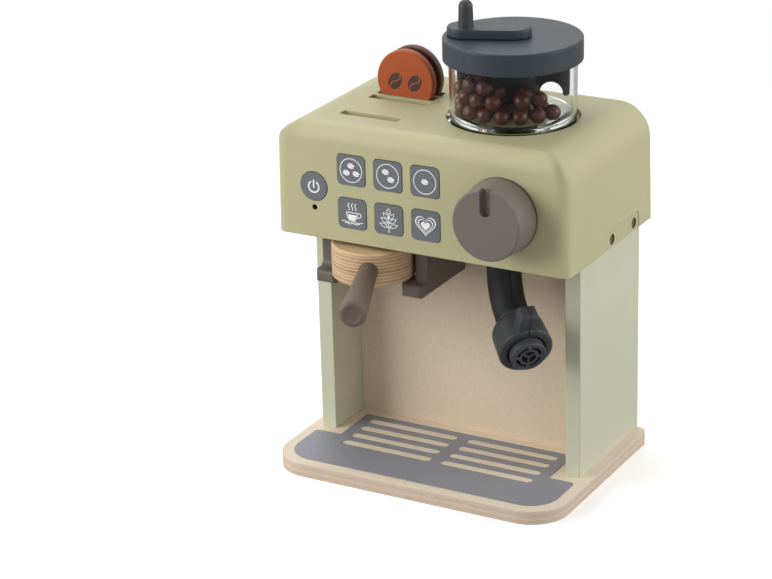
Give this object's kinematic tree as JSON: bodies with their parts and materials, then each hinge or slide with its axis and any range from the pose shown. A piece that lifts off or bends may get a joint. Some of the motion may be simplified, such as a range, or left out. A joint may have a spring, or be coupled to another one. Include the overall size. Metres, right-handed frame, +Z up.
{
  "type": "toy coffee maker",
  "caption": "Wood and plastic play coffee machine with push buttons, a turning knob, bean hopper with crank lid, sliding portafilter, swivelling steam wand and coffee discs.",
  "frame": {"origin": "on the table, under the middle of the outline as seen from above, handle included", "axes": "+Z up, +X to the viewer's right when facing the buttons, -Y out of the front"},
  "size_m": [0.2032, 0.1976, 0.3044],
  "materials": {
    "base_board": "clear satin lacquer",
    "back_panel": "clear satin lacquer",
    "drip_mat": "satin print",
    "green_paint": "satin paint",
    "head_shell": "fine satin",
    "side_plate": "satin",
    "button_slate": "satin",
    "circuit_board": "satin",
    "lamp": "clear tinted",
    "black_plastic": "satin",
    "cells": "satin",
    "taupe_plastic": "satin",
    "taupe_paint": "satin paint",
    "shaft_steel": "bright",
    "screw_steel": "zinc plated",
    "clear_plastic": "clear",
    "beans": "satin",
    "lid_slate": "satin",
    "puck_orange": "satin paint",
    "puck_brown": "satin paint",
    "portafilter_disc": "clear satin lacquer",
    "charcoal_plastic": "satin"
  },
  "bodies": {
    "machine": {"base_board": "base_board", "drip_mat": "drip_mat", "side_panel_left": "green_paint", "side_panel_right": "green_paint", "back_panel": "back_panel", "base_screw_1": "screw_steel", "base_screw_2": "screw_steel", "base_screw_3": "screw_steel", "base_screw_4": "screw_steel", "head_shell": "head_shell", "head_floor": "head_shell", "side_plate_left": "side_plate", "side_plate_right": "side_plate", "side_screw_1": "screw_steel", "side_screw_2": "screw_steel", "side_screw_3": "screw_steel", "side_screw_4": "screw_steel", "control_board": "circuit_board", "pin_lamp": "lamp", "speaker": "black_plastic", "battery_box": "black_plastic", "battery_cells": "cells", "battery_door": "head_shell", "door_screw": "screw_steel", "rail_left": "taupe_plastic", "rail_right": "taupe_plastic", "rail_screw_1": "screw_steel", "rail_screw_2": "screw_steel", "rail_screw_3": "screw_steel", "rail_screw_4": "screw_steel"},
    "power": {"power_button": "button_slate"},
    "triple": {"key_triple": "button_slate"},
    "double": {"key_double": "button_slate"},
    "single": {"key_single": "button_slate"},
    "cup": {"key_cup": "button_slate"},
    "leaf": {"key_leaf": "button_slate"},
    "heart": {"key_heart": "button_slate"},
    "knob": {"selector_knob": "taupe_plastic", "knob_spindle": "shaft_steel", "spindle_collar": "shaft_steel"},
    "hopper": {"hopper_cup": "clear_plastic", "coffee_beans": "beans"},
    "lid": {"hopper_lid": "lid_slate"},
    "crank": {"crank_arm": "lid_slate", "crank_post": "lid_slate", "crank_shaft": "shaft_steel", "stirrer": "black_plastic"},
    "orange_disc": {"puck_orange": "puck_orange"},
    "brown_disc": {"puck_brown": "puck_brown"},
    "portafilter": {"portafilter_disc": "portafilter_disc", "portafilter_handle": "taupe_paint", "handle_screw": "screw_steel"},
    "wand": {"wand_half_left": "charcoal_plastic", "wand_half_right": "charcoal_plastic", "nozzle_ring": "charcoal_plastic", "nozzle_grille": "black_plastic", "wand_spigot": "taupe_plastic", "wand_collar": "taupe_plastic"}
  },
  "joints": [
    {"name": "power_press", "type": "slide", "parent": "machine", "child": "power", "axis": [0, 1, 0], "range_m": [0, 0.0012], "stiffness_N_per_m": 400, "springref_m": -0.0005},
    {"name": "triple_press", "type": "slide", "parent": "machine", "child": "triple", "axis": [0, 1, 0], "range_m": [0, 0.0012], "stiffness_N_per_m": 400, "springref_m": -0.0005},
    {"name": "double_press", "type": "slide", "parent": "machine", "child": "double", "axis": [0, 1, 0], "range_m": [0, 0.0012], "stiffness_N_per_m": 400, "springref_m": -0.0005},
    {"name": "single_press", "type": "slide", "parent": "machine", "child": "single", "axis": [0, 1, 0], "range_m": [0, 0.0012], "stiffness_N_per_m": 400, "springref_m": -0.0005},
    {"name": "cup_press", "type": "slide", "parent": "machine", "child": "cup", "axis": [0, 1, 0], "range_m": [0, 0.0012], "stiffness_N_per_m": 400, "springref_m": -0.0005},
    {"name": "leaf_press", "type": "slide", "parent": "machine", "child": "leaf", "axis": [0, 1, 0], "range_m": [0, 0.0012], "stiffness_N_per_m": 400, "springref_m": -0.0005},
    {"name": "heart_press", "type": "slide", "parent": "machine", "child": "heart", "axis": [0, 1, 0], "range_m": [0, 0.0012], "stiffness_N_per_m": 400, "springref_m": -0.0005},
    {"name": "knob_turn", "type": "hinge", "parent": "machine", "child": "knob", "pos_m": [0.0574, -0.02282, 0.1905], "axis": [0, 1, 0], "range_deg": [-135, 135]},
    {"name": "hopper_lift", "type": "slide", "parent": "machine", "child": "hopper", "axis": [0, 0, 1], "range_m": [0, 0.07]},
    {"name": "lid_lift", "type": "slide", "parent": "hopper", "child": "lid", "axis": [0, 0, 1], "range_m": [0, 0.06]},
    {"name": "crank_turn", "type": "hinge", "parent": "lid", "child": "crank", "pos_m": [0.0328, 0.04268, 0.285], "axis": [0, 0, 1], "continuous": true},
    {"name": "orange_disc_lift", "type": "slide", "parent": "machine", "child": "orange_disc", "axis": [0, 0, 1], "range_m": [0, 0.05]},
    {"name": "brown_disc_lift", "type": "slide", "parent": "machine", "child": "brown_disc", "axis": [0, 0, 1], "range_m": [0, 0.05]},
    {"name": "portafilter_slide", "type": "slide", "parent": "machine", "child": "portafilter", "axis": [0, -1, 0], "range_m": [0, 0.075]},
    {"name": "wand_swivel", "type": "hinge", "parent": "machine", "child": "wand", "pos_m": [0.042, 0.00978, 0.16], "axis": [0, 0, 1], "range_deg": [-70, 15]}
  ]
}
